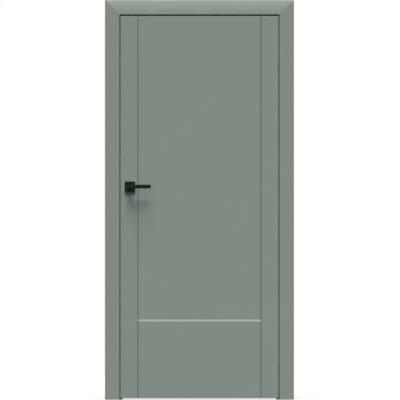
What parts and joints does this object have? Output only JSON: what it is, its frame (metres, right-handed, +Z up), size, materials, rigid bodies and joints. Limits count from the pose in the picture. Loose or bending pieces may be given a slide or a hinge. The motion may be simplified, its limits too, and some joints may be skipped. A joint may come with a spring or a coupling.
{
  "type": "interior door set",
  "caption": "Interior door set: a flush leaf with a glass strip, on concealed hinges in an adjustable timber frame with mitred casings, lever handles and a magnetic latch.",
  "frame": {"origin": "middle of the door set's bounding box in width and depth, at floor level", "axes": "+Z up, +X to the right as seen from the flush pull side, +Y from that side into the wall"},
  "size_m": [0.989, 0.183, 2.0915],
  "materials": {
    "painted_board": "matte",
    "raw_board": "matte",
    "satin_glass": "satin",
    "black_handle": "matte",
    "satin_zinc": "satin",
    "bright_steel": "satin",
    "zinc_plated_case": "satin",
    "black_plastic": "matte",
    "seal_rubber": "matte",
    "beech": "matte"
  },
  "bodies": {
    "frame": {"jamb_left": "painted_board", "jamb_right": "painted_board", "jamb_head": "painted_board", "stop_left": "painted_board", "stop_right": "painted_board", "stop_head": "painted_board", "casing_front_left": "painted_board", "casing_front_right": "painted_board", "casing_front_head": "painted_board", "casing_back_left": "painted_board", "casing_back_right": "painted_board", "casing_back_head": "painted_board", "seal_left": "seal_rubber", "seal_right": "seal_rubber", "seal_head": "seal_rubber", "corner_screws": "bright_steel", "strike_plate": "satin_zinc", "strike_box": "black_plastic", "strike_magnet": "bright_steel", "strike_screws": "bright_steel", "hinge_housing_lower": "satin_zinc", "hinge_housing_middle": "satin_zinc", "hinge_housing_upper": "satin_zinc", "hinge_pin_lower": "bright_steel", "hinge_pin_middle": "bright_steel", "hinge_pin_upper": "bright_steel", "hinge_washers": "black_plastic", "hinge_frame_screws": "bright_steel"},
    "leaf": {"stile_left": "painted_board", "stile_right": "painted_board", "panel_upper": "painted_board", "panel_lower": "painted_board", "leaf_dowels": "beech", "inlay_rail": "raw_board", "glass_strip_front": "satin_glass", "glass_strip_back": "satin_glass", "hinge_arm_lower": "satin_zinc", "hinge_arm_middle": "satin_zinc", "hinge_arm_upper": "satin_zinc", "hinge_adjusters": "bright_steel", "hinge_leaf_screws": "bright_steel", "lock_case": "zinc_plated_case", "lock_cover": "zinc_plated_case", "lock_faceplate": "satin_zinc", "lock_screws": "bright_steel", "rose_cover_front": "black_handle", "rose_cover_back": "black_handle", "rose_base_front": "black_plastic", "rose_base_back": "black_plastic", "rose_bolts": "bright_steel", "return_springs": "bright_steel"},
    "handle": {"lever_front": "black_handle", "lever_back": "black_handle", "spindle": "bright_steel", "follower": "bright_steel", "grub_screws": "bright_steel"},
    "latch": {"latch_bolt": "bright_steel"}
  },
  "joints": [
    {"name": "leaf_swing", "type": "hinge", "parent": "frame", "child": "leaf", "pos_m": [0.431, -0.0275, 0], "axis": [0, 0, 1], "range_deg": [0, 95]},
    {"name": "handle_turn", "type": "hinge", "parent": "leaf", "child": "handle", "pos_m": [-0.3635, -0.0145, 1.115], "axis": [0, 1, 0], "range_deg": [0, 40], "stiffness_Nm_per_rad": 1, "springref_deg": -34.38},
    {"name": "latch_slide", "type": "slide", "parent": "leaf", "child": "latch", "axis": [1, 0, 0], "range_m": [-0.011, 0], "stiffness_N_per_m": 60, "springref_m": 0.01}
  ]
}
